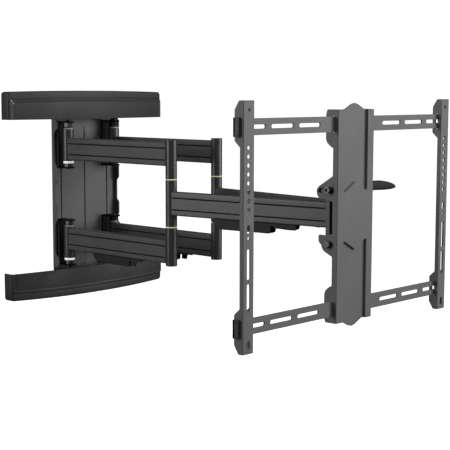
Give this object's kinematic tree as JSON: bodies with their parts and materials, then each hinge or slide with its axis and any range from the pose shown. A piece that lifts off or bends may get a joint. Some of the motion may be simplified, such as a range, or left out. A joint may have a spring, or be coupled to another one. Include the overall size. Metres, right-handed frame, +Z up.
{
  "type": "full motion tv wall mount",
  "caption": "Full motion TV wall mount: wall plate with bowed covers, twin folding arms, tilting head with lever, and a TV plate with rails and sliding uprights.",
  "frame": {"origin": "back face of the wall plate, on its centre line and half way up", "axes": "+Z up, +X to the right when facing the wall, +Y into the wall; the mount stands out along -Y"},
  "size_m": [0.6392, 0.786, 0.46],
  "materials": {
    "powder_coated_steel": "fine textured black powder coat",
    "satin_black_steel": "satin black",
    "black_aluminium": "black coated extrusion, satin",
    "black_plastic": "matt black moulding",
    "white_nylon": "natural nylon",
    "yellow_washer": "pale yellow bearing washer",
    "bright_pin": "darkened zinc"
  },
  "bodies": {
    "wall_side": {"wall_plate": "powder_coated_steel", "cover_upper": "black_plastic", "cover_lower": "black_plastic", "hinge_bracket_upper_left": "powder_coated_steel", "hinge_pin_upper_left": "bright_pin", "hinge_washer_outer_upper_left": "white_nylon", "hinge_washer_inner_upper_left": "white_nylon", "hinge_bracket_upper_right": "powder_coated_steel", "hinge_pin_upper_right": "bright_pin", "hinge_washer_outer_upper_right": "white_nylon", "hinge_washer_inner_upper_right": "white_nylon", "hinge_bracket_lower_left": "powder_coated_steel", "hinge_pin_lower_left": "bright_pin", "hinge_washer_outer_lower_left": "white_nylon", "hinge_washer_inner_lower_left": "white_nylon", "hinge_bracket_lower_right": "powder_coated_steel", "hinge_pin_lower_right": "bright_pin", "hinge_washer_outer_lower_right": "white_nylon", "hinge_washer_inner_lower_right": "white_nylon"},
    "left_wall_arms": {"rear_arm_upper_left": "black_aluminium", "wall_knuckle_upper_left": "satin_black_steel", "elbow_post_upper_left": "satin_black_steel", "elbow_washer_upper_left": "yellow_washer", "rear_arm_lower_left": "black_aluminium", "wall_knuckle_lower_left": "satin_black_steel", "elbow_post_lower_left": "satin_black_steel", "elbow_washer_lower_left": "yellow_washer", "elbow_pin_left": "bright_pin", "rear_cable_clip_left": "black_plastic"},
    "right_wall_arms": {"rear_arm_upper_right": "black_aluminium", "wall_knuckle_upper_right": "satin_black_steel", "elbow_post_upper_right": "satin_black_steel", "elbow_washer_upper_right": "yellow_washer", "rear_arm_lower_right": "black_aluminium", "wall_knuckle_lower_right": "satin_black_steel", "elbow_post_lower_right": "satin_black_steel", "elbow_washer_lower_right": "yellow_washer", "elbow_pin_right": "bright_pin", "rear_cable_clip_right": "black_plastic"},
    "left_front_arm": {"front_arm_left": "black_aluminium", "elbow_sleeve_left": "satin_black_steel", "front_cable_clip_left": "black_plastic"},
    "right_front_arm": {"front_arm_right": "black_aluminium", "elbow_sleeve_right": "satin_black_steel", "front_cable_clip_right": "black_plastic"},
    "head": {"yoke": "powder_coated_steel", "head_pin_left": "bright_pin", "head_pin_right": "bright_pin", "tilt_pivot_bolt": "bright_pin", "tilt_lock_bolt": "bright_pin"},
    "lever": {"tilt_lever": "black_plastic"},
    "tv_frame": {"centre_plate": "powder_coated_steel", "rail_upper": "powder_coated_steel", "rail_lower": "powder_coated_steel", "end_cap_upper_left": "black_plastic", "end_cap_upper_right": "black_plastic", "end_cap_lower_left": "black_plastic", "end_cap_lower_right": "black_plastic"},
    "left_upright": {"upright_left": "powder_coated_steel"},
    "right_upright": {"upright_right": "powder_coated_steel"}
  },
  "joints": [
    {"name": "left_wall_swing", "type": "hinge", "parent": "wall_side", "child": "left_wall_arms", "pos_m": [-0.068, -0.033, 0], "axis": [0, 0, -1], "range_deg": [0, 85]},
    {"name": "right_wall_swing", "type": "hinge", "parent": "wall_side", "child": "right_wall_arms", "pos_m": [0.068, -0.033, 0], "axis": [0, 0, 1], "range_deg": [0, 86]},
    {"name": "left_elbow", "type": "hinge", "parent": "left_wall_arms", "child": "left_front_arm", "pos_m": [-0.068, -0.3635, 0], "axis": [0, 0, 1], "range_deg": [0, 161]},
    {"name": "right_elbow", "type": "hinge", "parent": "right_wall_arms", "child": "right_front_arm", "pos_m": [0.068, -0.3635, 0], "axis": [0, 0, -1], "range_deg": [0, 161]},
    {"name": "head_swivel", "type": "hinge", "parent": "left_front_arm", "child": "head", "pos_m": [-0.018, -0.744, 0], "axis": [0, 0, -1], "range_deg": [0, 76]},
    {"name": "tilt", "type": "hinge", "parent": "head", "child": "tv_frame", "pos_m": [0, -0.7665, -0.0505], "axis": [1, 0, 0], "range_deg": [-3, 12]},
    {"name": "lever_turn", "type": "hinge", "parent": "head", "child": "lever", "pos_m": [0.066, -0.7665, 0.0505], "axis": [0, 0, 1], "range_deg": [0, 85]},
    {"name": "left_upright_slide", "type": "slide", "parent": "tv_frame", "child": "left_upright", "axis": [1, 0, 0], "range_m": [0, 0.195]},
    {"name": "right_upright_slide", "type": "slide", "parent": "tv_frame", "child": "right_upright", "axis": [-1, 0, 0], "range_m": [0, 0.195]}
  ],
  "couplings": [
    {"joint": "right_wall_swing", "follows": "left_wall_swing", "ratio": 1},
    {"joint": "left_elbow", "follows": "left_wall_swing", "ratio": 1.887},
    {"joint": "right_elbow", "follows": "left_wall_swing", "ratio": 1.887},
    {"joint": "head_swivel", "follows": "left_wall_swing", "ratio": 0.887}
  ]
}
